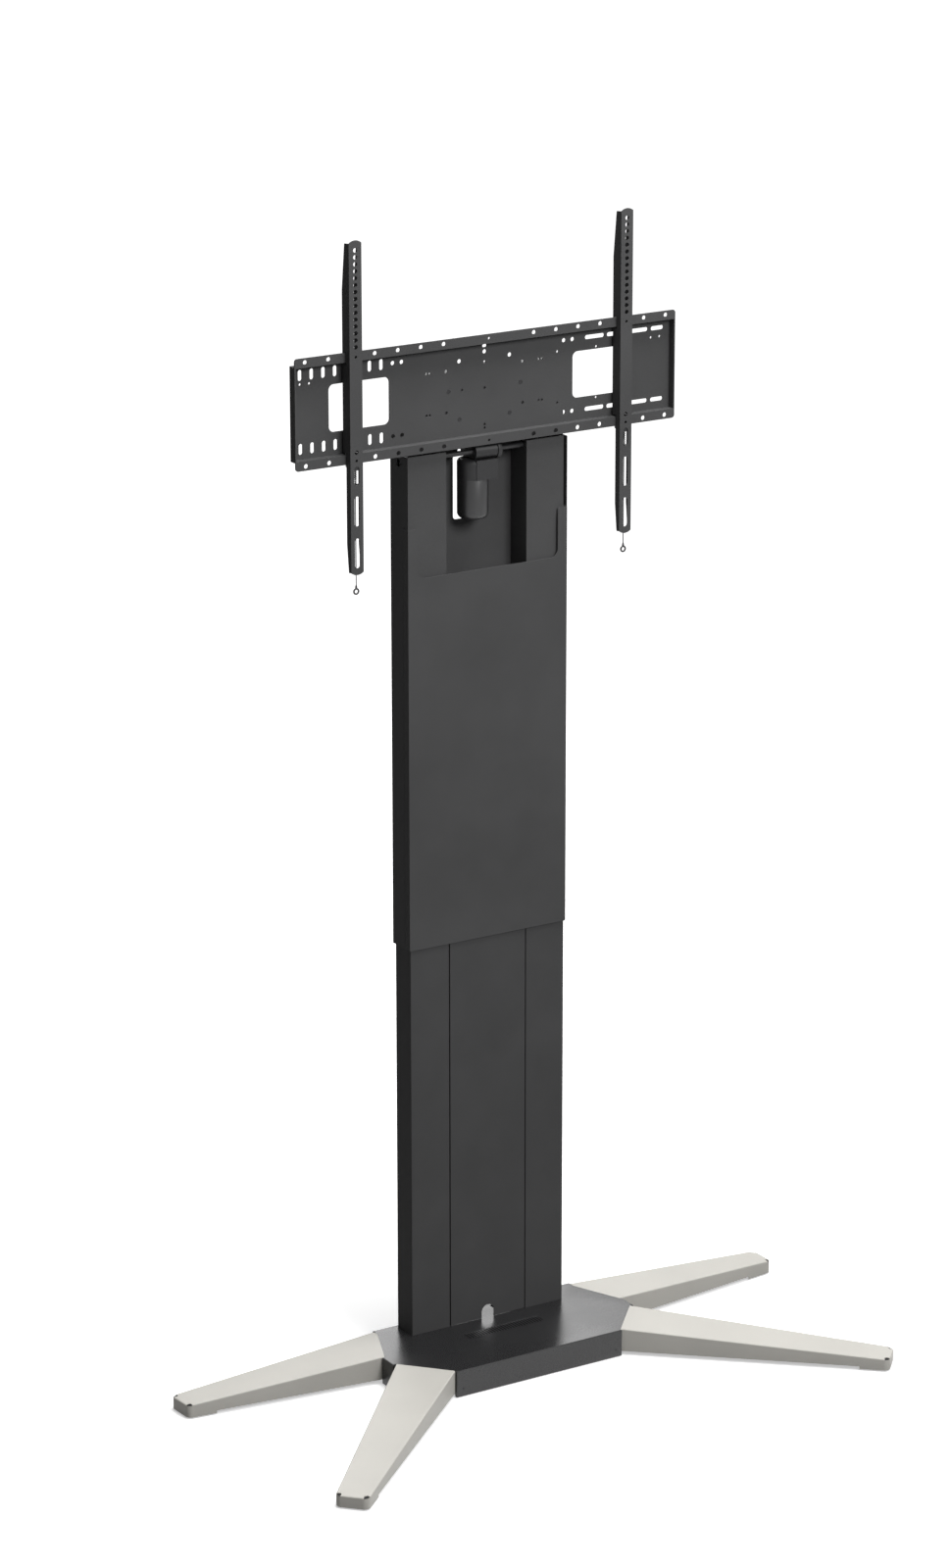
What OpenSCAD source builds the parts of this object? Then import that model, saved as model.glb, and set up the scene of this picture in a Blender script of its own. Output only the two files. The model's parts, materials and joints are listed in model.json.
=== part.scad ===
// Motorized display stand: a lift column on a low base with four legs, and a slotted display plate.
// Millimetres, +Z up, the display side faces -Y, origin on the floor under the middle of the footprint.
// Inside the modules, y = 0 is the front face of the fixed lower column; at_column() moves it into place.

/* [Base] */
// Height of the flat top of the base above the floor
base_h = 57; // [54:0.5:64]
// Gap between the lower edge of the base cover and the floor
base_gap = 2; // [1:0.5:3]
// Width of the front face of the base
base_front_w = 385; // [370:1:400]
// Width of the base over its short side walls
base_side_w = 563; // [550:1:580]
// Width of the back face of the base
base_back_w = 464; // [455:1:475]
// Distance from the front of the column to the front face of the base
base_front = 196; // [190:1:205]
// Distance from the front of the column back to the back face of the base
base_back = 62; // [61:0.5:64]
// Distance in front of the column where the side wall starts, next to the back leg
side_back = 60; // [55:1:62]
// Distance in front of the column where the side wall ends, next to the front leg
side_front = 101; // [98:1:106]
// Sheet thickness of the base cover and of the leg covers
cover_t = 2; // [1.5:0.1:2.5]
// Thickness of the steel plate at the bottom of the chassis
chassis_t = 6; // [5:0.5:8]
// Height of the underside of the chassis plate above the floor
chassis_z = 5; // [4:0.5:6]
// Number of cooling slits in the top of the base
vent_count = 28; // [20:1:30]
// Distance of the cooling slits in front of the column
vent_y = 60; // [50:1:80]
// Spacing of the cooling slits
vent_pitch = 6.3; // [5:0.1:6.8]
// Length of one cooling slit
vent_len = 26; // [20:0.5:30]

/* [Legs] */
// Overall width over the tips of the back legs
leg_span = 1380; // [1300:1:1450]
// Length of a front leg from its root to its tip
front_leg_len = 538; // [500:1:580]
// Angle of the front legs, measured from the side towards the front
front_leg_angle = 44; // [40:0.5:48]
// Width of every leg at its tip
leg_tip_w = 65; // [58:1:72]
// Height of every leg's top above the floor at the tip
leg_tip_h = 27; // [25:0.5:32]
// Height of the lower edge of the leg covers above the floor
leg_skirt_z = 9; // [7:0.5:10]
// Height of the lower edge of the covers round the foot
foot_skirt_z = 3.5; // [2.5:0.5:5]
// Length of the lower skirt round the foot
foot_skirt_len = 60; // [50:1:70]
// Corner radius of the leg tips
tip_r = 12; // [8:0.5:15]
// Wall of the steel beam inside each leg
beam_t = 4; // [3:0.5:5]

/* [Levelling feet] */
// Radius of the foot pad
foot_r = 18; // [14:0.5:20]
// Height of the foot pad
foot_h = 6; // [5:0.5:7]
// Radius of the threaded stud of a foot
stud_r = 5; // [4:0.5:6]
// Distance from the leg tip to the middle of a foot
foot_back = 34; // [30:1:40]

/* [Lower column] */
// Width over the two fixed posts
post_w = 352.5; // [345:0.5:354]
// Depth of the fixed posts
post_d = 56.7; // [55:0.1:57.5]
// Width of the gap between the two fixed posts
post_gap = 177; // [172:1:182]
// Wall of the fixed posts
post_t = 3; // [2.5:0.1:3.4]
// Height of the top of the fixed posts
post_top = 925; // [900:1:930]
// Width of the dark seam beside the front panel
seam = 2; // [1:0.1:3]
// Radius of the arched cable notch at the foot of the front panel
notch_r = 14; // [12:1:24]
// Height of the top of the cable notch above the top of the base
notch_h = 27.5; // [25:0.5:40]

/* [Lift] */
// Travel of the lift
travel = 640; // [620:1:645]
// Width of a moving inner post
inner_w = 76; // [72:0.5:76.5]
// Depth of a moving inner post
inner_d = 45; // [42:0.5:45.5]
// Wall of the moving inner posts
inner_t = 2.5; // [2:0.1:3]
// Radius of the lift spindles
spindle_r = 6; // [5:0.25:6.5]
// Distance from the front of the column to the axes of spindles and cross shaft
drive_y = 18.5; // [18.5:0.1:19]
// Height of the cross shaft, with the lift up
shaft_z = 1836; // [1834:0.5:1836.5]
// Radius of the cross shaft
shaft_r = 5; // [4:0.25:5.5]
// Outer radius of the push tubes
tube_r = 9.5; // [9:0.1:9.7]
// Height of the upper end of the push tubes
tube_top = 880; // [860:1:900]
// Radius of the lift motor
motor_r = 30.5; // [28:0.5:30.5]
// Distance of the motor axis to the left of the middle
motor_x = 14; // [11:0.5:14]
// Height of the lower end of the motor, with the lift up
motor_bottom = 1703; // [1690:1:1710]
// Teeth of the worm wheel
wheel_teeth = 18; // [18:1:18]

/* [Upper column] */
// Width of the moving shell
shell_w = 357.3; // [356.6:0.1:360]
// Depth of the moving shell
shell_d = 64.6; // [64:0.1:66]
// Distance that the moving shell's front stands in front of the fixed posts
shell_front = 2.3; // [2.1:0.1:2.8]
// Sheet thickness of the moving shell and its front cover
shell_t = 1.5; // [1.2:0.1:1.6]
// Height of the lower edge of the moving shell
shell_bottom = 865; // [860:1:880]
// Height of the upper edge of the moving shell
shell_top = 1994; // [1985:1:1996]
// Height of the lower edge of the pocket
pocket_bottom = 1609; // [1600:1:1620]
// Half of the width of the pocket
pocket_half = 90; // [88:0.5:90]
// Height of the top of the cover's ears beside the pocket
ear_top = 1707; // [1690:1:1720]
// Width of the cover's ears
ear_w = 21; // [16:0.5:24]
// Depth of the recess in which the post covers lie, from the front of the fixed posts
recess = 4; // [3.8:0.1:4.2]
// Depth of the returns of the front cover
cover_return = 18; // [14:0.5:22]

/* [Display plate] */
// Width of the display plate
plate_w = 845; // [840:1:860]
// Height of the display plate over its lips
plate_h = 213.4; // [213:0.2:216]
// Height of the middle of the display plate, with the lift up
plate_z = 1958.7; // [1958:0.1:1959.5]
// Thickness of the display plate
plate_t = 2.5; // [2:0.1:2.6]
// Depth of the folded edge, from the front of the panel to the front of the lips
plate_edge = 16.5; // [15:0.1:17]
// Height of the lips
lip_h = 18.5; // [17:0.1:19]
// Distance from the front of the fixed posts back to the front of the panel
panel_y = 11; // [10:0.1:11.5]

/* [Display strips] */
// Spacing of the two strips
strip_spacing = 600; // [400:1:700]
// Width of a strip
strip_w = 27; // [25:0.5:28]
// Length of a strip
strip_len = 636.5; // [630:0.5:650]
// Distance from the middle of the display plate to the upper end of the strips
strip_rise = 318.8; // [312:0.1:326]
// Thickness of the strips
strip_t = 1.6; // [1.6:0.1:2.4]
// Distance that the strips stand in front of the fixed posts
strip_front = 20.5; // [19.5:0.1:22]
// Pitch of the round holes in a strip
hole_pitch = 13; // [12.5:0.1:13]
// Number of round holes in the row of a strip
hole_count = 15; // [12:1:15]
// Height of the lowest display screw below the last hole of the row
screw_h = 200; // [190:1:210]
// Radius of the round holes in a strip
hole_r = 4.25; // [3.5:0.05:4.6]
// Diameter of the pull cord
cord_d = 2; // [1.6:0.1:2.2]
// Travel of the pull cord and its latch
latch_travel = 10; // [8:0.5:10]

/* [Hidden] */
$fn = 64;

// Shared clearances
seat = 0.3;
bolt_gap = 0.3;
running = 0.05;
big = 400;

// Paint, as the photograph shows it
anthracite = [0.28, 0.28, 0.29];
dark = [0.13, 0.13, 0.14];
champagne = [0.74, 0.72, 0.69];
zinc = [0.62, 0.63, 0.65];
nylon = [0.86, 0.86, 0.82];
black = [0.05, 0.05, 0.055];
brass = [0.72, 0.58, 0.32];

// Plane geometry: outlines run counterclockwise
function unit(v) = v / norm(v);
function cross2(a, b) = a.x * b.y - a.y * b.x;
function meet(p, u, q, w) = p + u * cross2(q - p, w) / cross2(u, w);
function inward(a, b) = let (u = unit(b - a)) [-u.y, u.x];
function inset(pts, d) = let (n = len(pts)) [for (i = [0 : n - 1])
    let (p = pts[(i + n - 1) % n], q = pts[i], r = pts[(i + 1) % n])
    meet(q + d * inward(p, q), q - p, q + d * inward(q, r), r - q)];
// The same outline, with its root end (last to first point) lengthened by d along both flanks
function longer(pts, d) = let (n = len(pts)) [for (i = [0 : n - 1])
    i == 0 ? pts[0] + d * unit(pts[0] - pts[1])
    : i == n - 1 ? pts[i] + d * unit(pts[i] - pts[i - 1]) : pts[i]];
function mirrored(pts) = [for (i = [len(pts) - 1 : -1 : 0]) [-pts[i].x, pts[i].y]];

// Places worked out from the driving sizes
side_x = base_side_w / 2;
back_x = base_back_w / 2;
wall_step = 7;
front_root = [[side_x - wall_step, -side_front], [base_front_w / 2 + 1, wall_step - 1 - base_front]];
back_root = [[back_x, base_back - 19], [side_x - wall_step + 1, 2 - side_back]];
back_edge = base_back - 3.5;
front_mid = (front_root[0] + front_root[1]) / 2;
front_dir = [cos(front_leg_angle), -sin(front_leg_angle)];
front_out = [sin(front_leg_angle), cos(front_leg_angle)];
front_tip = front_mid + front_leg_len * front_dir;
front_leg = [front_root[1], front_tip - leg_tip_w / 2 * front_out,
    front_tip + leg_tip_w / 2 * front_out, front_root[0]];
back_leg = [back_root[1], [leg_span / 2 - 3, back_edge - leg_tip_w], [leg_span / 2, back_edge],
    meet(back_root[0], back_root[0] - back_root[1], [0, back_edge], [1, 0])];
back_mid = (back_root[0] + back_root[1]) / 2;
back_slope = atan2(back_root[1].x - back_root[0].x, back_root[0].y - back_root[1].y);
back_slope_len = leg_span / 2 - back_mid.x;
column_y = (shell_front - shell_d - inset(front_leg, tip_r)[1].y + tip_r) / 2;

base_half = [[0, -base_front], [base_front_w / 2, -base_front], front_root[1], front_root[0],
    [side_x, -side_front], [side_x, -side_back], back_root[1], back_root[0],
    [back_x, base_back], [0, base_back]];
base_plan = concat([for (i = [1 : 8]) base_half[i]], mirrored([for (i = [1 : 8]) base_half[i]]));

chassis_top = chassis_z + chassis_t;
beam_top = base_h - cover_t - seat;
socket_h = 39;
post_x0 = post_gap / 2;
post_x1 = post_w / 2;
post_x = (post_x0 + post_x1) / 2;
inner_y0 = 5.5;
inner_top = 1846;
inner_bottom = chassis_top + socket_h + 10 + travel;
push_bore = 7;
nut_h = 30;
shell_x = shell_w / 2;
shell_back = shell_d - shell_front;
head_y = panel_y + plate_t;
head_bottom = inner_top;
head_t = 4;
cover_x = shell_x - shell_t - 3;
gear_pitch_r = 7.5;
gear_teeth = 12;
wheel_r = wheel_teeth / 2;
worm_r = 4;
rotor_r = 2.3;
worm_pitch = PI;
motor_y = drive_y + wheel_r + worm_r;
housing_half = 23.5;
housing_r = 16.5;
housing_z = shaft_z - 54;
housing_back = 50;
box_front = 0.8;
box_back = 28;
lip_front = panel_y - plate_edge;
lip_top = plate_z + plate_h / 2;
lip_bottom = plate_z - plate_h / 2;
strip_top = plate_z + strip_rise;
strip_bottom = strip_top - strip_len;
strip_back = 6.5;
strip_low_back = lip_front + 0.5;
hook_gap = 0.8;
latch_z = lip_bottom - 10;
latch_h = 8;
tooth_t = 3.5;
latch_y = -14.6;
spring_wire = 1;
spring_r = 2.7;
spring_turns = 7;
tab_z = latch_z - 18 - latch_travel;
stem_z = latch_z - 16;
ring_z = strip_bottom - 33;
ring_r = 5;
ring_wire = 1.8;
neck_h = 12;

module at_column() translate([0, column_y, 0]) children();
module side(s) if (s < 0) mirror([1, 0, 0]) children(); else children();
module pair() { children(); mirror([1, 0, 0]) children(); }
module block(x0, x1, y0, y1, z0, z1) translate([x0, y0, z0]) cube([x1 - x0, y1 - y0, z1 - z0]);
// A flat sheet whose outline is drawn in x and z, from y0 to y0 + t
module sheet_xz(y0, t) translate([0, y0 + t, 0]) rotate([90, 0, 0]) linear_extrude(t) children();
// A flat sheet whose outline is drawn in y and z, from x0 to x0 + t
module sheet_yz(x0, t) translate([x0, 0, 0]) rotate([90, 0, 90]) linear_extrude(t) children();
module rod_x(x0, x1, r) translate([x0, 0, 0]) rotate([0, 90, 0]) cylinder(r = r, h = x1 - x0);
module hole_xz(x, z, r) translate([x, z]) circle(r = r);
// A slot with round ends, its middle at x, z; w and h are its overall sizes
module slot_xz(x, z, w, h) {
    r = min(w, h) / 2;
    translate([x, z]) {
        if (w > h) square([w - 2 * r, h], center = true);
        else square([w, h - 2 * r], center = true);
        for (s = [-1, 1]) translate(w > h ? [s * (w / 2 - r), 0] : [0, s * (h / 2 - r)]) circle(r = r);
    }
}
module round_window(x0, x1, z0, z1, r) {
    translate([x0 + r, z0]) square([x1 - x0 - 2 * r, z1 - z0]);
    translate([x0, z0 + r]) square([x1 - x0, z1 - z0 - 2 * r]);
    for (x = [x0 + r, x1 - r], z = [z0 + r, z1 - r]) hole_xz(x, z, r);
}

// Legs: the outline is a four-point plan whose points 1 and 2 are the rounded tip corners
// The circles lie a hair inside the flanks, so that no arc only grazes an edge
hair = 0.02;
module leg_plan(pts, r) {
    centres = inset(pts, r + hair);
    n = len(pts);
    polygon([for (i = [0 : n - 1]) each (i != 1 && i != 2) ? [pts[i]]
        : [for (out = [inward(pts[i - 1], pts[i]), inward(pts[i], pts[i + 1])])
            centres[i] - (r + hair) * out]]);
    for (i = [1, 2]) translate(centres[i]) circle(r = r);
}
// Everything under the sloping top of a leg; inside the root line it is level or slopes on
module under_slope(mid, angle, slope_len, drop, z0, level) {
    fall = (base_h - leg_tip_h) / slope_len;
    reach = slope_len + 60;
    inner = level ? big : 60;
    top = base_h - drop;
    back = level ? [[0, top], [-inner, top]] : [[-inner, top + fall * inner]];
    translate([mid.x, mid.y, 0]) rotate([0, 0, angle]) translate([0, big / 2, 0]) rotate([90, 0, 0])
        linear_extrude(big) polygon(concat([[-inner, z0], [reach, z0], [reach, top - fall * reach]], back));
}
module slope_of(front, drop, z0, level = false) {
    if (front) under_slope(front_mid, -front_leg_angle, front_leg_len, drop, z0, level);
    else under_slope(back_mid, back_slope, back_slope_len, drop, z0, level);
}
function leg_of(front) = front ? front_leg : back_leg;
function tip_mid(pts) = (pts[1] + pts[2]) / 2;
function tip_dir(pts) = unit(tip_mid(pts) - (pts[0] + pts[3]) / 2);
function foot_at(pts) = tip_mid(pts) - foot_back * tip_dir(pts);

// Crescent openings where the sheet of the top leaves the rounded corner of the wall
module corner_reliefs(pts) {
    centres = inset(pts, tip_r);
    slit = 2.4;
    rim = tip_r - cover_t - seat;
    for (i = [1, 2]) {
        out = unit(pts[i] - centres[i]);
        translate([centres[i].x, centres[i].y, 0]) rotate([0, 0, atan2(out.y, out.x)])
            linear_extrude(base_h) intersection() {
                difference() {
                    circle(r = rim);
                    circle(r = rim - slit);
                }
                polygon([[0, 0], [tip_r, -tip_r * 0.95], [2 * tip_r, 0], [tip_r, tip_r * 0.95]]);
            }
    }
}

module leg_cover(front) {
    pts = leg_of(front);
    gone = tip_mid(pts) - (foot_skirt_len + big) * tip_dir(pts);
    color(champagne) at_column() difference() {
        intersection() {
            linear_extrude(base_h) leg_plan(pts, tip_r);
            slope_of(front, 0, foot_skirt_z);
        }
        intersection() {
            translate([0, 0, -1]) linear_extrude(base_h)
                leg_plan(inset(longer(pts, 30), cover_t), tip_r - cover_t);
            slope_of(front, cover_t, -1);
        }
        translate([gone.x, gone.y, 0]) rotate([0, 0, atan2(tip_dir(pts).y, tip_dir(pts).x)])
            block(-big, big, -big, big, 0, leg_skirt_z);
        if (!front) block(0, back_x, back_root[0].y, 2 * base_back, 0, base_h + 1);
        corner_reliefs(pts);
    }
}

tongue_len = 75;
tongue_w = 70;
back_tongue = 42;
beam_gap = 1;
// The plan of a beam, drawn in by d at its sides and lengthened by open at its inner end
module beam_plan(front, d, open) {
    pts = leg_of(front);
    grow = front ? 0 : back_tongue + open;
    leg_plan(inset(longer(pts, grow), cover_t + beam_gap + d), tip_r - cover_t - beam_gap - d);
    if (front) translate(front_mid) rotate([0, 0, -front_leg_angle])
        translate([-tongue_len - open, -tongue_w / 2 + d]) square([tongue_len + open + 20, tongue_w - 2 * d]);
}
back_dir = [cos(back_slope), sin(back_slope)];
back_out = [-sin(back_slope), cos(back_slope)];
function beam_bolts(front) = front
    ? [for (s = [-58, -22], v = [-18, 18]) front_mid + s * front_dir + v * front_out]
    : [for (v = [-30, 0, 30]) back_mid - 20 * back_dir + v * back_out];
module leg_beam(front) {
    pts = leg_of(front);
    foot = foot_at(pts);
    color(dark) at_column() difference() {
        intersection() {
            linear_extrude(base_h) beam_plan(front, 0, 0);
            slope_of(front, cover_t + seat, chassis_top, true);
        }
        intersection() {
            translate([0, 0, chassis_top + beam_t]) linear_extrude(base_h) beam_plan(front, beam_t, 20);
            slope_of(front, cover_t + seat + beam_t, chassis_top + beam_t, true);
        }
        for (p = beam_bolts(front)) translate([p.x, p.y, 0])
            cylinder(r = stud_r + bolt_gap, h = chassis_top + beam_t + 1);
        translate([foot.x, foot.y, 0]) cylinder(r = stud_r + running, h = chassis_top + beam_t + 1);
    }
}

module levelling_foot(front) {
    foot = foot_at(leg_of(front));
    chamfer = 1;
    color(black) at_column() translate([foot.x, foot.y, 0]) {
        cylinder(r1 = foot_r - chamfer, r2 = foot_r, h = chamfer);
        translate([0, 0, chamfer]) cylinder(r = foot_r, h = foot_h - 2 * chamfer);
        translate([0, 0, foot_h - chamfer]) cylinder(r1 = foot_r, r2 = foot_r - 3, h = chamfer);
        cylinder(r = stud_r, h = chassis_top + beam_t + 5.5);
        translate([0, 0, foot_h]) cylinder(r = stud_r + 3, h = 3, $fn = 6);
    }
}

// Base
module skirt(a, b) {
    n = inward(a, b);
    translate([0, 0, base_gap]) linear_extrude(base_h - base_gap)
        polygon([a, b, b + cover_t * n, a + cover_t * n]);
}
module post_hole_plan(d) pair() translate([post_x0 - d, -d])
    square([post_x1 - post_x0 + 2 * d, post_d + 2 * d]);
screw_x = base_front_w / 2 - 14.5;
screw_z = 18;
inlet_x = 15;
inlet_z = 32;
cable_x = 34;
module base_cover() color(anthracite) at_column() difference() {
    union() {
        translate([0, 0, base_h - cover_t]) linear_extrude(cover_t) polygon(base_plan);
        skirt(mirrored([base_half[1]])[0], base_half[1]);
        pair() {
            skirt(base_half[3], base_half[4]);
            skirt(base_half[4], base_half[5]);
            skirt(base_half[5], base_half[6]);
            block(base_front_w / 2 - cover_t, base_front_w / 2, -base_front, front_root[1].y - 1,
                base_gap, base_h);
            block(back_x - cover_t, back_x, back_edge + seat, base_back, base_gap, base_h);
        }
        block(-back_x, back_x, base_back - cover_t, base_back, base_gap, base_h);
    }
    translate([0, 0, base_h - big / 2]) linear_extrude(big) post_hole_plan(seat);
    for (i = [0 : vent_count - 1]) translate([(i - (vent_count - 1) / 2) * vent_pitch, -vent_y, base_h - 5])
        linear_extrude(10) slot_xz(0, 0, 2.4, vent_len);
    block(cable_x, cable_x + 44, 28, 48, base_h - 5, base_h + 5);
    for (s = [-1, 1]) translate([s * screw_x, -base_front - 1, screw_z]) rotate([-90, 0, 0])
        cylinder(r = 2.2, h = 10);
    block(-inlet_x, inlet_x, base_back - 5, base_back + 1, inlet_z - 11, inlet_z + 11);
}

rib_x = 62;
rib_t = 6;
module base_chassis() color(dark) at_column() difference() {
    union() {
        translate([0, 0, chassis_z]) linear_extrude(chassis_t) polygon(inset(base_plan, cover_t + seat + 2));
        pair() {
            block(rib_x, rib_x + rib_t, 8 - base_front, -6, chassis_top - 1, beam_top);
            translate([post_x0 + post_t, post_t, chassis_top - 1])
                cube([post_x1 - post_x0 - 2 * post_t, post_d - 2 * post_t, socket_h + 1]);
        }
        block(-base_front_w / 2 + 8, base_front_w / 2 - 8, cover_t + seat - base_front,
            cover_t + seat + 4 - base_front, chassis_z, beam_top - 15);
    }
    pair() {
        block(post_x0 + post_t + 5, post_x1 - post_t - 5, post_t + 5, post_d - post_t - 5,
            chassis_top, chassis_top + 80);
        for (front = [true, false], p = beam_bolts(front)) translate([p.x, p.y, 0])
            cylinder(r = stud_r + bolt_gap, h = 20);
        translate([screw_x, -base_front, screw_z]) rotate([-90, 0, 0]) cylinder(r = 1.7, h = 12);
    }
}

module chassis_bolts() color(zinc) at_column() pair()
    for (front = [true, false], p = beam_bolts(front)) translate([p.x, p.y, 0]) {
        translate([0, 0, chassis_z + 0.5]) cylinder(r = stud_r, h = chassis_t + beam_t);
        translate([0, 0, chassis_top + beam_t]) difference() {
            cylinder(r = 8, h = 8);
            translate([0, 0, 4]) cylinder(r = 4, h = 5, $fn = 6);
        }
    }

module cover_screws() color(dark) at_column()
    for (s = [-1, 1]) translate([s * screw_x, -base_front, screw_z]) rotate([-90, 0, 0]) {
    translate([0, 0, 0.4]) cylinder(r = 1.65, h = 9);
    translate([0, 0, 0.2]) cylinder(r = 2.1, h = 1);
}

module control_box() color(dark) at_column() {
    difference() {
        block(-rib_x + 8, rib_x - 8, -150, -30, chassis_top, beam_top - 8);
        for (x = [-40 : 10 : 40]) block(x - 1.5, x + 1.5, -140, -120, beam_top - 11, beam_top);
    }
    block(-30, -10, -30, -24, chassis_top + 6, chassis_top + 20);
    block(10, 30, -30, -24, chassis_top + 6, chassis_top + 20);
}

module power_inlet() color(black) at_column() difference() {
    union() {
        block(-inlet_x + seat, inlet_x - seat, base_back - 25, base_back,
            inlet_z - 11 + seat, inlet_z + 11 - seat);
        block(-inlet_x - 5, inlet_x + 5, base_back - cover_t - seat - 2, base_back - cover_t - seat,
            inlet_z - 15, inlet_z + 15);
    }
    block(-12, 12, base_back - 16, base_back + 1, inlet_z - 8, inlet_z + 8);
}

// Lower column
module lower_post() color(anthracite) at_column() difference() {
    block(post_x0, post_x1, 0, post_d, chassis_top, post_top);
    block(post_x0 + post_t, post_x1 - post_t, post_t, post_d - post_t, chassis_top - 1, post_top + 1);
}

panel_sheet = 1.5;
module lower_front_panel() color(anthracite) at_column() {
    half = post_x0 - seam;
    difference() {
        union() {
            block(-half, half, 0, panel_sheet, base_h + seat, post_top);
            pair() {
                block(half - panel_sheet, half, 0, 12, base_h + seat, post_top);
                block(half - panel_sheet, post_x0 - seat, 10.5, 12, base_h + seat, post_top);
            }
        }
        sheet_xz(-1, panel_sheet + 2) {
            hole_xz(0, base_h + notch_h - notch_r, notch_r);
            translate([-notch_r, base_h - 1]) square([2 * notch_r, notch_h - notch_r + 1]);
        }
    }
}

module lower_back_panel() color(anthracite) at_column() {
    half = post_x0 - seat;
    block(-half, half, post_d - panel_sheet, post_d, 160, post_top);
    pair() block(half - panel_sheet, half, post_d - 12, post_d, 160, post_top);
}

module push_tube() color(zinc) at_column() translate([post_x, drive_y, chassis_top]) difference() {
    cylinder(r = tube_r, h = tube_top - chassis_top);
    translate([0, 0, -1]) cylinder(r = push_bore, h = tube_top);
}

module spindle_nuts() color(brass) at_column() pair() translate([post_x, drive_y, tube_top]) difference() {
    cylinder(r = tube_r, h = nut_h);
    translate([0, 0, -1]) cylinder(r = spindle_r + running * 2, h = nut_h + 2);
}

// A frame of sliding pads between a fixed post and the inner post in it
pad_play = 0.4;
inner_x0 = post_x - inner_w / 2;
inner_x1 = post_x + inner_w / 2;
module guide_frame(z0, z1, outer_gap, inner_gap) difference() {
    block(post_x0 + post_t + outer_gap, post_x1 - post_t - outer_gap,
        post_t + outer_gap, post_d - post_t - outer_gap, z0, z1);
    block(inner_x0 - inner_gap, inner_x1 + inner_gap,
        inner_y0 - inner_gap, inner_y0 + inner_d + inner_gap, z0 - 1, z1 + 1);
}
pad_len = 68;
pad_inset = 2;
module upper_guide_pads() color(nylon) at_column() pair()
    guide_frame(post_top - pad_inset - pad_len, post_top - pad_inset, 0, pad_play);
module lower_guide_pads() color(nylon) at_column() pair()
    guide_frame(inner_bottom + pad_inset, inner_bottom + pad_inset + pad_len, pad_play, 0);

// Moving carriage
module inner_post() color(zinc) at_column() difference() {
    block(inner_x0, inner_x1, inner_y0, inner_y0 + inner_d, inner_bottom, inner_top);
    block(inner_x0 + inner_t, inner_x1 - inner_t, inner_y0 + inner_t, inner_y0 + inner_d - inner_t,
        inner_bottom - 1, inner_top + 1);
    translate([0, drive_y, shaft_z]) rod_x(inner_x0 - 1, inner_x0 + inner_t + 1, bush_r + running);
}

bush_r = 8;
module shaft_bushes() color(nylon) at_column() pair() translate([0, drive_y, shaft_z]) difference() {
    union() {
        rod_x(inner_x0 - 1, inner_x0 + inner_t + 2, bush_r);
        rod_x(inner_x0 + inner_t, inner_x0 + inner_t + 2, bush_r + 1.2);
    }
    rod_x(inner_x0 - 2, inner_x0 + inner_t + 3, shaft_r + running);
}

bearing_z0 = shaft_z - 54;
bearing_z1 = shaft_z - 36;
module spindle_bearings() color(dark) at_column() pair() difference() {
    block(inner_x0 + inner_t, inner_x1 - inner_t, inner_y0 + inner_t, inner_y0 + inner_d - inner_t,
        bearing_z0, bearing_z1);
    translate([post_x, drive_y, 0]) cylinder(r = spindle_r + running, h = big * 10);
}

// The motor reaches into a window in the back of the shell
window_r = 6;
window_z0 = 1696;
window_z1 = shaft_z - 14;
module outer_shell() color(anthracite) at_column() difference() {
    union() {
        block(-shell_x, shell_x, shell_back - shell_t, shell_back, shell_bottom, shell_top);
        pair() sheet_yz(shell_x - shell_t, shell_t) polygon([
            [shell_back, shell_bottom], [shell_back, shell_top], [head_y, shell_top], [head_y, head_bottom],
            [-shell_front, head_bottom], [-shell_front, ear_top + seat],
            [cover_return - shell_front + seat, ear_top + seat],
            [cover_return - shell_front + seat, shell_bottom]]);
    }
    sheet_xz(shell_back - shell_t - 1, shell_t + 2) {
        round_window(-40, 14, window_z0, window_z1, window_r);
        hole_xz(-26, shaft_z - 6, 3.5);
    }
    pair() translate([shell_x - 3, 0, 0]) sheet_yz(0, 6) slot_xz(32.4, shaft_z - 4.3, 10, 16);
}

ear_r = 17;
ear_corner = 6;
module front_cover() color(anthracite) at_column() {
    ear_x = shell_x - ear_w;
    sheet_xz(-shell_front, shell_t) {
        difference() {
            translate([-shell_x, shell_bottom]) square([2 * shell_x, ear_top - ear_corner - shell_bottom]);
            translate([-ear_x, pocket_bottom + ear_r]) square([2 * ear_x, ear_top]);
            translate([-ear_x + ear_r, pocket_bottom]) square([2 * (ear_x - ear_r), ear_top]);
            for (s = [-1, 1]) hole_xz(s * (ear_x - ear_r), pocket_bottom + ear_r, ear_r);
        }
        pair() {
            translate([ear_x + ear_corner, ear_top - ear_corner - 1])
                square([ear_w - ear_corner, ear_corner + 1]);
            hole_xz(ear_x + ear_corner, ear_top - ear_corner, ear_corner);
        }
    }
    pair() block(shell_x - shell_t, shell_x, -shell_front, cover_return - shell_front, shell_bottom, ear_top);
}

post_cover_bottom = pocket_bottom - 32;
boss_r = 7;
module post_cover() color(anthracite) at_column() {
    block(pocket_half, cover_x, recess, recess + panel_sheet, post_cover_bottom, head_bottom);
    difference() {
        block(pocket_half, pocket_half + panel_sheet, recess, shell_back - shell_t - seat,
            post_cover_bottom, head_bottom);
        translate([0, drive_y, shaft_z]) rod_x(pocket_half - 1, pocket_half + panel_sheet + 1, bush_r);
    }
    for (x = [pocket_half + 16, cover_x - 16])
        translate([x, seat + shell_t - shell_front, post_cover_bottom + 14]) rotate([-90, 0, 0])
            cylinder(r = boss_r, h = recess + shell_front - shell_t - seat);
}

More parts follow.
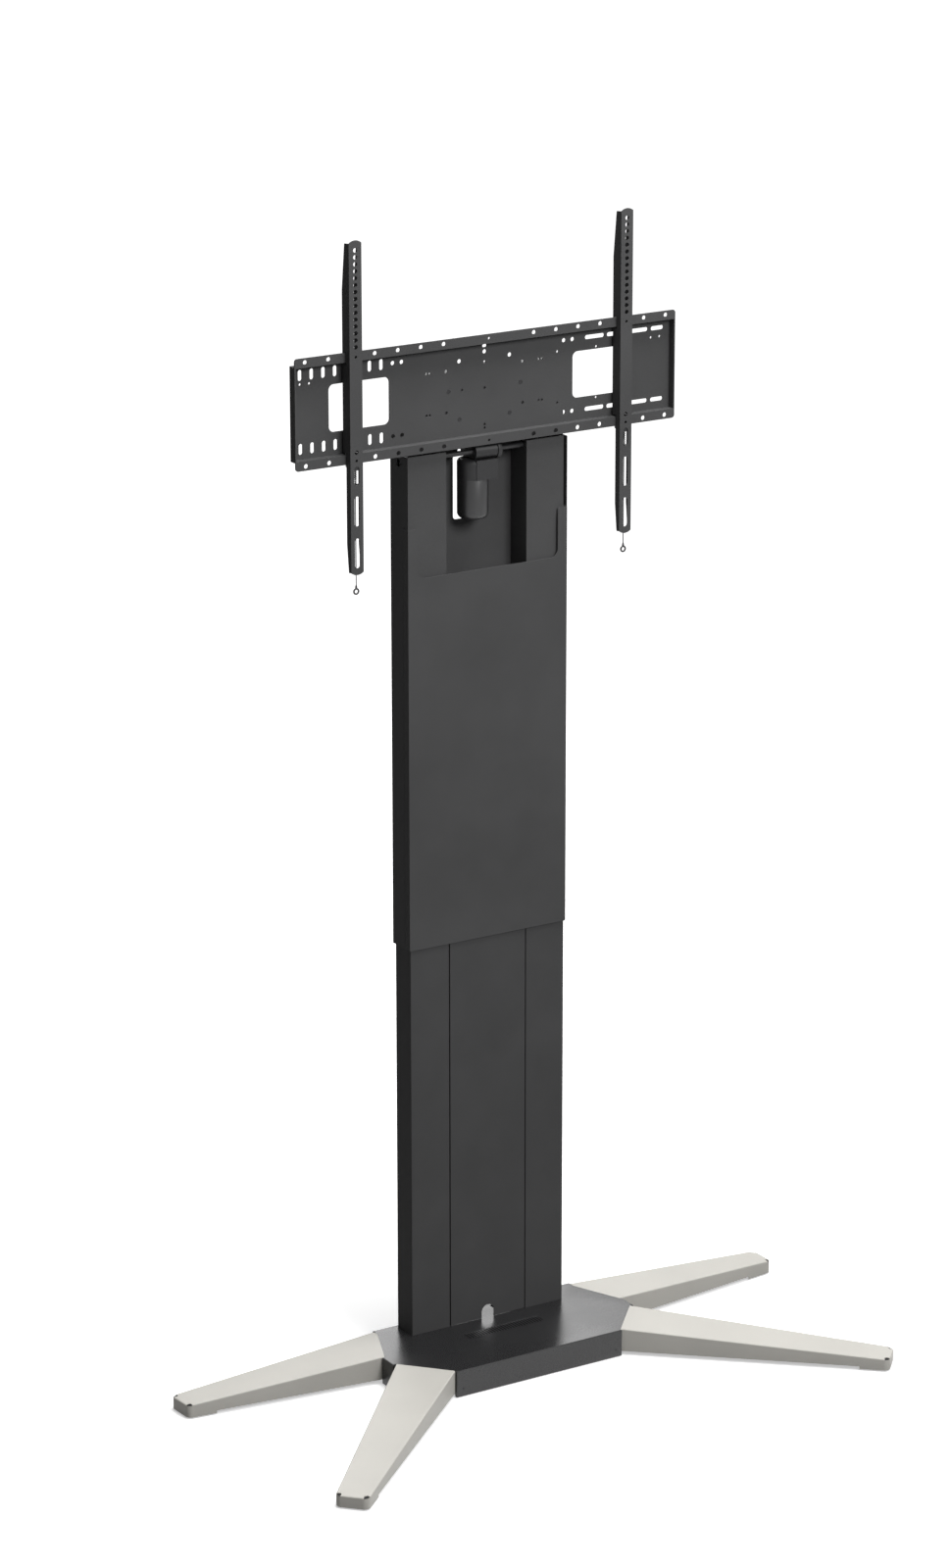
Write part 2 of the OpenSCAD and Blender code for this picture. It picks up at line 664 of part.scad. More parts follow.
module head_frame() color(dark) at_column() difference() {
    half = shell_x - shell_t - seat;
    inside = shell_back - shell_t - seat;
    union() {
        block(-half, half, head_y, head_y + head_t, head_bottom, shell_top);
        pair() block(half - head_t, half, head_y, inside, head_bottom, shell_top);
        difference() {
            block(-half, half, head_y, inside, head_bottom, head_bottom + head_t);
            block(-housing_half - 4, housing_half + 14, head_y - 1, housing_back,
                head_bottom - 1, head_bottom + head_t + 1);
        }
        block(-half, half, inside - head_t, inside, shell_top - 30, shell_top);
        block(-housing_half, housing_half, housing_back, housing_back + head_t,
            shaft_z - housing_r + 3, head_bottom + 1);
    }
    block(-housing_half - 4, housing_half + 14, head_y - 1, head_y + head_t + 1,
        head_bottom - 1, shaft_z + housing_r + 5);
    sheet_xz(head_y - 1, head_t + 2) for (p = plate_bolt_at) hole_xz(p.x, plate_z + p.y, 4.3);
}

module top_cap() color(dark) at_column()
    block(-shell_x, shell_x, head_y, shell_back, shell_top + seat, shell_top + seat + 2);

module motor() color(black) at_column() translate([-motor_x, motor_y, 0]) difference() {
    round_r = 12;
    translate([0, 0, motor_bottom]) rotate_extrude() {
        square([motor_r - round_r, round_r]);
        intersection() {
            translate([motor_r - round_r, round_r]) circle(r = round_r);
            square([motor_r, round_r]);
        }
        translate([0, round_r]) square([motor_r, housing_z - motor_bottom - round_r]);
    }
    translate([0, 0, housing_z - 30]) cylinder(r = rotor_r + running, h = 31);
}

// The gearbox: a box in front of the bell over the motor, under the barrel round the cross shaft
bell_h = shaft_z - housing_r + 1 - housing_z;
bell_round = 8;
module gearbox_housing() color(dark) at_column() difference() {
    union() {
        block(-housing_half, housing_half, box_front, box_back, housing_z, shaft_z - housing_r + 1);
        translate([-motor_x, motor_y, housing_z]) rotate_extrude() {
            square([motor_r, bell_h - bell_round]);
            square([motor_r - bell_round, bell_h]);
            translate([motor_r - bell_round, bell_h - bell_round]) circle(r = bell_round);
        }
        translate([0, drive_y, shaft_z]) rod_x(-housing_half, 25, housing_r);
        translate([0, drive_y, shaft_z]) rod_x(25, 33, housing_r + 2.5);
        block(-housing_half, 2, drive_y, housing_back, shaft_z - housing_r, shaft_z + 14);
    }
    translate([0, drive_y, shaft_z]) {
        rod_x(-40, 40, shaft_r + running);
        rod_x(-motor_x - 3.5, -motor_x + 3.5, wheel_r + 2);
    }
    translate([-motor_x, motor_y, housing_z + 8])
        cylinder(r = worm_r + 1.8, h = shaft_z + 12 - housing_z - 8);
    translate([-motor_x, motor_y, housing_z - 1]) cylinder(r = rotor_r + running, h = 12);
}

// Drive: a gear outline with straight-sided teeth; shares are tooth widths as parts of the pitch
function polar(r, a) = r * [cos(a), sin(a)];
module gear_outline(teeth, root, tip, root_share, tip_share) {
    pitch = 360 / teeth;
    polygon([for (i = [0 : teeth - 1]) each [polar(root, pitch * (i - root_share / 2)),
        polar(tip, pitch * (i - tip_share / 2)), polar(tip, pitch * (i + tip_share / 2)),
        polar(root, pitch * (i + root_share / 2))]]);
}
// Half of a mitre pair: its teeth point at the origin, where the two axes cross, from below
bore_r = 3;
gear_near = 4.4;
module mitre_gear() difference() {
    union() {
        translate([0, 0, -gear_pitch_r])
            linear_extrude(gear_pitch_r - gear_near, scale = gear_near / gear_pitch_r,
                segments = 4 * gear_teeth)
                gear_outline(gear_teeth, gear_pitch_r - 1.5, gear_pitch_r + 1.5, 0.5, 0.22);
        translate([0, 0, -gear_pitch_r - 6]) cylinder(r = gear_pitch_r - 2.3, h = 6);
    }
    translate([0, 0, -gear_pitch_r - 7]) cylinder(r = bore_r + running, h = 14);
}

// The worm: one slice of its thread, seen along the axis, turned as it climbs
thread_turns = 4;
thread_steps = 12;
thread_slice = [for (a = [-35, -12, 12, 35]) polar(worm_r + 1, a), polar(worm_r, 65), polar(worm_r - 0.7, 95),
    polar(worm_r - 1.3, 122), polar(worm_r - 1.3, 160), polar(worm_r - 1.3, 200), polar(worm_r - 1.3, 238),
    polar(worm_r - 0.7, 265), polar(worm_r, 295)];
function turned(p, a) = [p.x * cos(a) - p.y * sin(a), p.x * sin(a) + p.y * cos(a)];
module thread(z0) {
    n = len(thread_slice);
    steps = thread_turns * thread_steps;
    points = [for (i = [0 : steps], p = thread_slice)
        let (q = turned(p, 90 + 360 * i / thread_steps)) [q.x, q.y, z0 + worm_pitch * i / thread_steps]];
    flanks = [for (i = [0 : steps - 1], k = [0 : n - 1])
        let (a = i * n + k, b = i * n + (k + 1) % n) each [[a, a + n, b], [b, a + n, b + n]]];
    caps = [for (k = [1 : n - 2]) each [[0, k, k + 1], [steps * n, steps * n + k + 1, steps * n + k]]];
    polyhedron(points, concat(flanks, caps));
}
module worm() color(zinc) at_column() translate([-motor_x, motor_y, 0]) {
    z0 = shaft_z - thread_turns * worm_pitch / 2;
    translate([0, 0, housing_z - 25]) cylinder(r = rotor_r, h = z0 - housing_z + 26);
    thread(z0);
    translate([0, 0, z0 + thread_turns * worm_pitch - 1]) cylinder(r = rotor_r, h = 3);
}

module worm_wheel() color(brass) at_column() translate([-motor_x, drive_y, shaft_z]) difference() {
    translate([-2.5, 0, 0]) rotate([90, 0, 90]) linear_extrude(5)
        gear_outline(wheel_teeth, wheel_r - 1.25, wheel_r + 1, 0.5, 0.25);
    rod_x(-4, 4, shaft_r + running);
}

shaft_end = post_x - 4.9;
module cross_shaft() color(zinc) at_column() translate([0, drive_y, shaft_z]) {
    rod_x(-shaft_end + 10, shaft_end - 10, shaft_r);
    pair() rod_x(shaft_end - 10.5, shaft_end, bore_r);
}

module shaft_gears() color(zinc) at_column() pair() translate([post_x, drive_y, shaft_z])
    rotate([0, 90, 0]) rotate(180 / gear_teeth) mitre_gear();

spindle_low = tube_top - 8;
module spindle() color(zinc) at_column() translate([post_x, drive_y, 0]) {
    translate([0, 0, spindle_low]) cylinder(r = spindle_r, h = shaft_z - 24 - spindle_low);
    for (z = [bearing_z0 - 6 - seat, bearing_z1 + seat]) translate([0, 0, z]) cylinder(r = 9.5, h = 6);
    translate([0, 0, shaft_z - 25]) cylinder(r = bore_r, h = 25 - 4.9);
}
module spindle_gear() color(zinc) at_column() translate([post_x, drive_y, shaft_z]) mitre_gear();

// Display plate
// Places in the plate, from its middle
plate_bolt_at = [[-80, 1.3], [80, 1.3], [-56, -55.2], [56, -55.2]];
lip_r = 6;
slot_w = 8.5;
strip_slot_w = 10.5;
module interface_plate() color(anthracite) at_column() {
    half = plate_w / 2;
    wall_top = lip_top - lip_h + plate_t;
    wall_bottom = lip_bottom + lip_h - plate_t;
    difference() {
        union() {
            block(-half, half, panel_y, head_y, wall_bottom, wall_top);
            block(-half, half, lip_front, head_y, wall_top - plate_t, wall_top);
            block(-half, half, lip_front, head_y, wall_bottom, wall_bottom + plate_t);
            pair() block(half - plate_t, half, lip_front, head_y, wall_bottom, wall_top);
        }
        sheet_xz(panel_y - 1, plate_t + 2) panel_holes();
    }
    difference() {
        sheet_xz(lip_front, plate_t) for (up = [0, 1]) mirrored_about(plate_z, up) {
            translate([-half, wall_top - plate_t]) square([2 * half, lip_h - lip_r]);
            translate([-half + lip_r, wall_top - plate_t]) square([2 * (half - lip_r), lip_h]);
            for (s = [-1, 1]) hole_xz(s * (half - lip_r), lip_top - lip_r, lip_r);
        }
        sheet_xz(lip_front - 1, plate_t + 2) for (z = [lip_top - 8.3, lip_bottom + 8.3]) {
            hole_xz(0, z, 2.5);
            for (s = [-1, 1], x = [100, 150, 200, 250, 300, 350, 400]) hole_xz(s * x, z, 4.5);
        }
    }
}
module mirrored_about(z, up) if (up == 1) children(); else translate([0, 2 * z]) mirror([0, 1]) children();
row_top = 71;
row_bottom = -69.2;
module panel_holes() translate([0, plate_z]) {
    for (z = [row_top, row_bottom]) {
        for (k = [0 : 7]) slot_xz(-402 + 25 * k, z, slot_w, 21);
        for (x = [-202, -182.5, 178, 197.5]) hole_xz(x, z, slot_w / 2);
        for (x = [248, 298, 348]) slot_xz(x, z, 44, slot_w);
        slot_xz(391.5, z, 29, slot_w);
    }
    round_window(-341, -210, -44.7, 46.3, 11);
    round_window(198, 329, -44.7, 46.3, 11);
    slot_xz(0, 81.1, 10, 6);
    hole_xz(0, row_top - 1, slot_w / 2);
    for (s = [-1, 1]) {
        hole_xz(s * 56, 57.3, 4.3);
        hole_xz(s * 85, 41.3, 3.2);
        hole_xz(s * 85, -38.7, 3.2);
        for (d = [-3.5, 3.5], z = [41.3, -38.7]) hole_xz(s * 125 + d, z, 2.4);
    }
    for (z = [50.3, 0.3, -70.7, -77.7]) hole_xz(0, z, 2.6);
    hole_xz(-50.4, 1.3, 2.6);
    for (x = [163.5, 252], z = [50.8, -48.7]) hole_xz(x, z, 2.4);
    for (x = [-402, -382, 377.5, 397.5]) hole_xz(x, 53.8, 2.4);
    for (p = plate_bolt_at) hole_xz(p.x, p.y, 4.3);
}
module plate_bolts() color(dark) at_column()
    for (p = plate_bolt_at) translate([p.x, 0, plate_z + p.y]) rotate([-90, 0, 0]) {
    translate([0, 0, panel_y + 0.3]) cylinder(r = 4, h = plate_t + head_t);
    translate([0, 0, head_y + head_t]) cylinder(r = 6.5, h = 5, $fn = 6);
}

// Display strips: a folded channel, drawn about x = 0
end_rise = 5;
hole_top = strip_top - 18.6;
low_hole = hole_top - (hole_count - 1) * hole_pitch - screw_h;
lock_top = lip_top - 8.3;
lock_bottom = lip_bottom + 8.3;
module strip_front_outline() {
    half = strip_w / 2;
    r = (half * half + end_rise * end_rise) / (2 * end_rise);
    intersection() {
        translate([-half, strip_bottom]) square([strip_w, strip_len]);
        union() {
            translate([-half, strip_bottom + end_rise]) square([strip_w, strip_len - 2 * end_rise]);
            for (z = [strip_top - r, strip_bottom + r]) intersection() {
                hole_xz(0, z, r);
                translate([-half, z > plate_z ? strip_top - end_rise - 1 : strip_bottom])
                    square([strip_w, end_rise + 1]);
            }
        }
    }
}
module flange_outline() {
    front = -strip_front;
    lip_gap = lip_front - hook_gap;
    wall_top = lip_top - lip_h + plate_t;
    wall_bottom = lip_bottom + lip_h - plate_t;
    polygon([[front, strip_bottom + end_rise], [front + 9.5, strip_bottom + end_rise - 1],
        [strip_low_back, strip_bottom + 58], [strip_low_back, lip_bottom - 4], [lip_gap, lip_bottom - 3],
        [lip_gap, wall_bottom + plate_t + 3], [strip_back, wall_bottom + plate_t + 3],
        [strip_back, wall_top - plate_t - 3], [lip_gap, wall_top - plate_t - 3],
        [lip_gap, lip_top + seat], [lip_front + plate_t + hook_gap, lip_top + seat],
        [lip_front + plate_t + hook_gap, wall_top + 3], [strip_back, wall_top + 3],
        [strip_back, strip_top - 96], [front + 17, strip_top - end_rise - 2], [front, strip_top - end_rise]]);
}
module strip() difference() {
    half = strip_w / 2;
    union() {
        sheet_xz(-strip_front, strip_t) strip_front_outline();
        pair() sheet_yz(half - strip_t, strip_t) flange_outline();
        block(-half + 0.5, half - 0.5, -strip_front + 0.5, -8, tab_z - 2, tab_z);
    }
    sheet_xz(-strip_front - 1, strip_t + 2) {
        for (i = [0 : hole_count - 1]) hole_xz(0, hole_top - i * hole_pitch, hole_r);
        hole_xz(0, low_hole, hole_r);
        for (z = [lock_top + 1.3, lock_bottom + 0.7]) hole_xz(0, z, 2.6);
        slot_xz(0, (tab_z + latch_z + latch_h) / 2, strip_slot_w, latch_z + latch_h - tab_z);
        slot_xz(0, strip_bottom + 123, strip_slot_w, 57.7);
        slot_xz(0, strip_bottom + 42, strip_slot_w, 57.7);
    }
    translate([0, latch_y, tab_z - 5]) cylinder(r = 2, h = 10);
}

module latch() {
    half = strip_w / 2 - strip_t - seat;
    tooth_y = lip_front + plate_t + hook_gap;
    block(-half, half, -strip_front + strip_t + seat, strip_low_back - 2, latch_z, latch_z + latch_h);
    block(-half, half, strip_low_back - 4, tooth_y + tooth_t, latch_z + latch_h - tooth_t, latch_z + latch_h);
    block(-half, half, tooth_y, tooth_y + tooth_t, latch_z + latch_h - 1, latch_z + latch_h + 8);
    translate([0, latch_y, stem_z]) cylinder(r = 1.4, h = latch_z - stem_z + 1);
}

// A tube swept along points, with a ring at each point set square to the path
function ring(p, t, r, sides, up) = let (u = unit(cross(t, up)), w = cross(u, t))
    [for (k = [0 : sides - 1]) let (a = 360 * k / sides) p + r * (cos(a) * u + sin(a) * w)];
module sweep(path, tangents, r, sides, up) {
    n = len(path);
    points = [for (i = [0 : n - 1]) each ring(path[i], tangents[i], r, sides, up)];
    last = (n - 1) * sides;
    flanks = [for (i = [0 : n - 2], k = [0 : sides - 1])
        let (a = i * sides + k, b = i * sides + (k + 1) % sides)
        each [[a, b, a + sides], [b, b + sides, a + sides]]];
    caps = [for (k = [1 : sides - 2]) each [[0, k + 1, k], [last, last + k, last + k + 1]]];
    polyhedron(points, concat(flanks, caps));
}

// The latch spring: one wire that climbs round the stem, its ends turned in to stand square on what they meet
spring_len = latch_z - tab_z - 2 * seat;
spring_tail = spring_wire;
curl_rings = 8;
spring_rise = (spring_len - 2 * spring_tail) / spring_turns;
spring_path = [for (i = [0 : spring_turns * curl_rings]) let (a = 360 * i / curl_rings)
    [spring_r * cos(a), spring_r * sin(a), spring_tail + spring_rise * i / curl_rings]];
spring_tangents = [for (i = [0 : spring_turns * curl_rings]) let (a = 360 * i / curl_rings)
    i == 0 || i == spring_turns * curl_rings ? unit([-sin(a), cos(a), 1])
    : unit([-sin(a), cos(a), spring_rise / (2 * PI * spring_r)])];
spring_wire_path = concat([[spring_r, 0, 0]], spring_path, [[spring_r, 0, spring_len]]);
spring_wire_tangents = concat([[0, 0, 1]], spring_tangents, [[0, 0, 1]]);
spring_gap = min([for (i = [0 : spring_turns * curl_rings - curl_rings])
    norm(spring_path[i + curl_rings] - spring_path[i])]) - spring_wire;
echo(str("least gap of the latch spring to itself: ", spring_gap, " mm"));
module latch_spring() translate([0, latch_y, tab_z + seat])
    sweep(spring_wire_path, spring_wire_tangents, spring_wire / 2, 6, [0.3, 0.2, -0.1]);

// The pull cord hangs straight down from the stem of the latch to its ring
cord_top = stem_z;
cord_bottom = ring_z + ring_r + neck_h - 5;
cord_route = [for (i = [0 : 42]) [0, latch_y, cord_top + (cord_bottom - cord_top) * i / 42]];
module pull_cord() sweep(cord_route, [for (p = cord_route) [0, 0, -1]], cord_d / 2, 8, [0, 1, 0]);

module pull_ring() translate([0, latch_y, ring_z]) {
    rotate([90, 0, 0]) rotate_extrude() translate([ring_r, 0]) circle(r = ring_wire);
    translate([0, 0, ring_r + 1]) cylinder(r1 = 2.4, r2 = 1.6, h = neck_h - 6);
}

module at_strip(s) at_column() translate([s * strip_spacing / 2, 0, 0]) children();

base_cover();
base_chassis();
side(-1) leg_cover(true);  // leg_cover_front_left
side(1) leg_cover(true);  // leg_cover_front_right
side(-1) leg_cover(false);  // leg_cover_back_left
side(1) leg_cover(false);  // leg_cover_back_right
side(-1) leg_beam(true);  // leg_beam_front_left
side(1) leg_beam(true);  // leg_beam_front_right
side(-1) leg_beam(false);  // leg_beam_back_left
side(1) leg_beam(false);  // leg_beam_back_right
side(-1) levelling_foot(true);  // levelling_foot_front_left
side(1) levelling_foot(true);  // levelling_foot_front_right
side(-1) levelling_foot(false);  // levelling_foot_back_left
side(1) levelling_foot(false);  // levelling_foot_back_right
chassis_bolts();
cover_screws();
control_box();
power_inlet();
side(-1) lower_post();  // lower_post_left
side(1) lower_post();  // lower_post_right
lower_front_panel();
lower_back_panel();
side(-1) push_tube();  // push_tube_left
side(1) push_tube();  // push_tube_right
spindle_nuts();
upper_guide_pads();
side(-1) inner_post();  // inner_post_left
side(1) inner_post();  // inner_post_right
lower_guide_pads();
outer_shell();
front_cover();
side(-1) post_cover();  // post_cover_left
side(1) post_cover();  // post_cover_right
head_frame();
top_cap();
motor();
gearbox_housing();
shaft_bushes();
spindle_bearings();
interface_plate();
plate_bolts();
worm();
cross_shaft();
worm_wheel();
shaft_gears();
side(-1) spindle();  // spindle_left
side(1) spindle();  // spindle_right
side(-1) spindle_gear();  // spindle_gear_left
side(1) spindle_gear();  // spindle_gear_right
color(anthracite) at_strip(-1) strip();  // strip_left
color(anthracite) at_strip(1) strip();  // strip_right
color(dark) at_strip(-1) latch();  // latch_left
color(dark) at_strip(1) latch();  // latch_right
color(dark) at_strip(-1) latch_spring();  // latch_spring_left
color(dark) at_strip(1) latch_spring();  // latch_spring_right
color(black) at_strip(-1) pull_cord();  // pull_cord_left
color(black) at_strip(1) pull_cord();  // pull_cord_right
color(dark) at_strip(-1) pull_ring();  // pull_ring_left
color(dark) at_strip(1) pull_ring();  // pull_ring_right
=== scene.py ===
import json
import math
import bmesh
import bpy
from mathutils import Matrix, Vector


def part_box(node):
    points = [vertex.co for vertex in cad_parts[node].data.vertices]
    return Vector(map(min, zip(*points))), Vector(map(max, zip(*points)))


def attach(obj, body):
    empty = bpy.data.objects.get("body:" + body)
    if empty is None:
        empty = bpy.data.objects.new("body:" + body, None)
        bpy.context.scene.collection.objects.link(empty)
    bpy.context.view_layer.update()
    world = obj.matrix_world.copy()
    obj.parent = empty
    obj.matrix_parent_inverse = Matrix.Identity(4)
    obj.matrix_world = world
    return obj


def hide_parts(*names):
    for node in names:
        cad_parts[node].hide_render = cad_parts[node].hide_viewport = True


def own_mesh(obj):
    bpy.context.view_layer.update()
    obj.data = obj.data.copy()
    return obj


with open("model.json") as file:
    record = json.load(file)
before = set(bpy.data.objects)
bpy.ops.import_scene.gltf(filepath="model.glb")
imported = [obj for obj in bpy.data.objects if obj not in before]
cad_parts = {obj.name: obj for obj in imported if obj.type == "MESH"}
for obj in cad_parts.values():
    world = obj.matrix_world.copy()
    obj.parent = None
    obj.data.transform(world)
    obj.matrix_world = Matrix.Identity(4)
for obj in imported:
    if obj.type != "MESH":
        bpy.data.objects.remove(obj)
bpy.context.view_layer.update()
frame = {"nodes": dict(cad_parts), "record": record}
SIDES = ("left", "right")
MM = 0.001

# The front of the fixed column, read from the frame
COLUMN_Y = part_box("lower_post_right")[0].y

# Camera, solved from the photograph: angles, metres and pixels
PHOTO_W, PHOTO_H = 969, 1600
YAW, PITCH = math.radians(-31.93), math.radians(17.26)
DISTANCE = 9.706
TARGET = Vector((0.0058, COLUMN_Y, 1.1827))
FOCAL_PX = 5110.8
CENTRE_PX = (500.07, 796.03)
SENSOR_MM = 36.0
CLIP_END = 100


def make_camera():
    data = bpy.data.cameras.new("camera")
    camera = bpy.data.objects.new("camera", data)
    bpy.context.scene.collection.objects.link(camera)
    level = math.cos(PITCH)
    back = Vector((math.sin(YAW) * level, -math.cos(YAW) * level, math.sin(PITCH)))
    camera.location = TARGET + back * DISTANCE
    camera.rotation_euler = back.to_track_quat("Z", "Y").to_euler()
    data.sensor_width = SENSOR_MM
    data.lens = FOCAL_PX / PHOTO_H * SENSOR_MM
    data.shift_x = (PHOTO_W / 2 - CENTRE_PX[0]) / PHOTO_H
    data.shift_y = (CENTRE_PX[1] - PHOTO_H / 2) / PHOTO_H
    data.clip_end = CLIP_END
    bpy.context.scene.camera = camera


# Materials. Nearly all values of a noise lie between its low and its high.
NOISE_LOW, NOISE_HIGH = 0.3, 0.7
PATCH_SCALE, PATCH_DETAIL = 6.0, 3.0
GRAIN_DETAIL, GRAIN_ROUGHNESS = 2.0, 0.6
GRAIN_DEPTH = 0.00004
GRAIN_SHARE, PATCH_SHARE = 0.45, 0.55
ROUGH_VARY = 0.06


def new_material(name):
    material = bpy.data.materials.new(name)
    material.use_nodes = True
    nodes = material.node_tree.nodes
    return material, nodes, material.node_tree.links, nodes["Principled BSDF"]


def noise(nodes, links, vector, scale, detail=2.0, roughness=0.5):
    node = nodes.new("ShaderNodeTexNoise")
    node.inputs["Scale"].default_value = scale
    node.inputs["Detail"].default_value = detail
    node.inputs["Roughness"].default_value = roughness
    links.new(vector, node.inputs["Vector"])
    return node.outputs["Fac"]


def ramp(nodes, links, value, low, high):
    """A colour that goes from low to high with a noise."""
    node = nodes.new("ShaderNodeValToRGB")
    node.color_ramp.elements[0].position = NOISE_LOW
    node.color_ramp.elements[1].position = NOISE_HIGH
    node.color_ramp.elements[0].color = (*low, 1)
    node.color_ramp.elements[1].color = (*high, 1)
    links.new(value, node.inputs["Fac"])
    return node.outputs["Color"]


def spread(nodes, links, value, low, high):
    """A number that goes from low to high with a noise."""
    node = nodes.new("ShaderNodeMapRange")
    node.inputs["From Min"].default_value = NOISE_LOW
    node.inputs["From Max"].default_value = NOISE_HIGH
    node.inputs["To Min"].default_value = low
    node.inputs["To Max"].default_value = high
    links.new(value, node.inputs["Value"])
    return node.outputs["Result"]


def bump(nodes, links, shader, height, strength, distance):
    node = nodes.new("ShaderNodeBump")
    node.inputs["Strength"].default_value = strength
    node.inputs["Distance"].default_value = distance
    links.new(height, node.inputs["Height"])
    links.new(node.outputs["Normal"], shader.inputs["Normal"])


def surface(name, colour, roughness, metallic=0.0, vary=0.08, grain=1100.0,
            grain_strength=0.35, specular=0.5):
    """A finish with broad patches and a fine grain. Both change its colour and its roughness,
    and the grain is also its relief."""
    material, nodes, links, shader = new_material(name)
    place_out = nodes.new("ShaderNodeTexCoord").outputs["Object"]
    broad = noise(nodes, links, place_out, PATCH_SCALE, PATCH_DETAIL)
    fine = noise(nodes, links, place_out, grain, GRAIN_DETAIL, GRAIN_ROUGHNESS)
    mixed = nodes.new("ShaderNodeMath")
    mixed.operation = "MULTIPLY_ADD"
    mixed.inputs[1].default_value = GRAIN_SHARE
    links.new(fine, mixed.inputs[0])
    patches = nodes.new("ShaderNodeMath")
    patches.operation = "MULTIPLY"
    patches.inputs[1].default_value = PATCH_SHARE
    links.new(broad, patches.inputs[0])
    links.new(patches.outputs[0], mixed.inputs[2])
    low = [c * (1 - vary) for c in colour]
    high = [c * (1 + vary) for c in colour]
    links.new(ramp(nodes, links, mixed.outputs[0], low, high), shader.inputs["Base Color"])
    rough = spread(nodes, links, mixed.outputs[0], roughness - ROUGH_VARY, roughness + ROUGH_VARY)
    links.new(rough, shader.inputs["Roughness"])
    shader.inputs["Metallic"].default_value = metallic
    shader.inputs["Specular IOR Level"].default_value = specular
    bump(nodes, links, shader, fine, grain_strength, GRAIN_DEPTH)
    return material


# Colour and roughness of each finish, then what it has of its own
FINISHES = {
    "anthracite_coat": ((0.083, 0.083, 0.0842), 0.62,
                        dict(vary=0.14, grain=900, grain_strength=0.5, specular=0.015)),
    "lower_coat": ((0.076, 0.076, 0.0772), 0.62,
                   dict(vary=0.14, grain=900, grain_strength=0.5, specular=0.015)),
    "base_coat": ((0.02, 0.02, 0.0208), 0.28, dict(vary=0.14, grain=900)),
    "champagne_coat": ((0.57, 0.555, 0.515), 0.45,
                       dict(vary=0.06, grain=1600, grain_strength=0.4, specular=0.12)),
    "black_steel": ((0.018, 0.018, 0.019), 0.5, dict(vary=0.2, specular=0.3)),
    "zinc_steel": ((0.5, 0.51, 0.52), 0.36, dict(metallic=1.0, grain=700)),
    "bronze": ((0.55, 0.38, 0.17), 0.33, dict(metallic=1.0)),
    "guide_plastic": ((0.7, 0.7, 0.66), 0.45, dict(vary=0.03, grain=500)),
    "black_plastic": ((0.018, 0.018, 0.019), 0.42, dict(vary=0.15, grain=1500)),
    "foot_rubber": ((0.02, 0.02, 0.021), 0.75, dict(vary=0.15, grain=700)),
    "motor_black": ((0.022, 0.022, 0.023), 0.38,
                    dict(vary=0.12, grain=500, grain_strength=0.15)),
    "cord_black": ((0.012, 0.012, 0.012), 0.8, dict(vary=0.3, grain=2500)),
}


def make_materials():
    return {name: surface(name, colour, roughness, **own)
            for name, (colour, roughness, own) in FINISHES.items()}


# Modelling helpers
TUBE_UP = Vector((0.3, 0.2, -0.1))


def add_mesh(name, points, faces, material, body):
    mesh = bpy.data.meshes.new(name)
    mesh.from_pydata([tuple(p) for p in points], [], faces)
    mesh.materials.append(material)
    mesh.shade_smooth()
    piece = bpy.data.objects.new(name, mesh)
    bpy.context.scene.collection.objects.link(piece)
    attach(piece, body)
    return piece


def tube_mesh(path, radius, sides):
    """Points and faces of a closed tube along a path. Its ends are capped."""
    points, faces = [], []
    count = len(path)
    for i, at in enumerate(path):
        along = (path[min(i + 1, count - 1)] - path[max(i - 1, 0)]).normalized()
        first = along.cross(TUBE_UP).normalized()
        second = first.cross(along)
        for k in range(sides):
            turn = 2 * math.pi * k / sides
            points.append(at + radius * (math.cos(turn) * first + math.sin(turn) * second))
    for i in range(count - 1):
        for k in range(sides):
            a, b = i * sides + k, i * sides + (k + 1) % sides
            faces.append((a, a + sides, b + sides, b))
    faces.append(tuple(range(sides)))
    faces.append(tuple((count - 1) * sides + k for k in reversed(range(sides))))
    return points, faces


# Pull cords: straight down from the stem of each latch to its ring
CORD_D = 2 * MM
CORD_POINTS = 24
CORD_ROUNDNESS = 3


def make_cord(side, materials):
    low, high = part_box("pull_cord_" + side)
    x, y = (low.x + high.x) / 2, (low.y + high.y) / 2
    curve = bpy.data.curves.new("cord_" + side, "CURVE")
    curve.dimensions = "3D"
    curve.bevel_depth = CORD_D / 2
    curve.bevel_resolution = CORD_ROUNDNESS
    curve.use_fill_caps = True
    spline = curve.splines.new("POLY")
    spline.points.add(CORD_POINTS - 1)
    for i, point in enumerate(spline.points):
        point.co = (x, y, high.z + (low.z - high.z) * i / (CORD_POINTS - 1), 1)
    curve.materials.append(materials["cord_black"])
    piece = bpy.data.objects.new("cord_" + side, curve)
    bpy.context.scene.collection.objects.link(piece)
    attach(piece, "latch_" + side)
    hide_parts("pull_cord_" + side)


# Latch springs: a round wire coiled like the solid, with a straight start and end
SPRING_TURNS = 7
SPRING_WIRE = 1 * MM
STEPS_PER_TURN = 24
WIRE_SIDES = 10


def make_spring(side, materials):
    low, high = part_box("latch_spring_" + side)
    x, y = (low.x + high.x) / 2, (low.y + high.y) / 2
    radius = (high.x - low.x) / 2 - SPRING_WIRE / 2
    steps = STEPS_PER_TURN * SPRING_TURNS
    rise = high.z - low.z - 2 * SPRING_WIRE
    path = [Vector((x + radius, y, low.z))]
    for i in range(steps + 1):
        turn = 2 * math.pi * SPRING_TURNS * i / steps
        path.append(Vector((x + radius * math.cos(turn), y + radius * math.sin(turn),
                            low.z + SPRING_WIRE + rise * i / steps)))
    path.append(Vector((x + radius, y, high.z)))
    points, faces = tube_mesh(path, SPRING_WIRE / 2, WIRE_SIDES)
    piece = add_mesh("spring_" + side, points, faces, materials["black_steel"], "strip_" + side)
    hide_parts("latch_spring_" + side)
    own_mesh(piece)


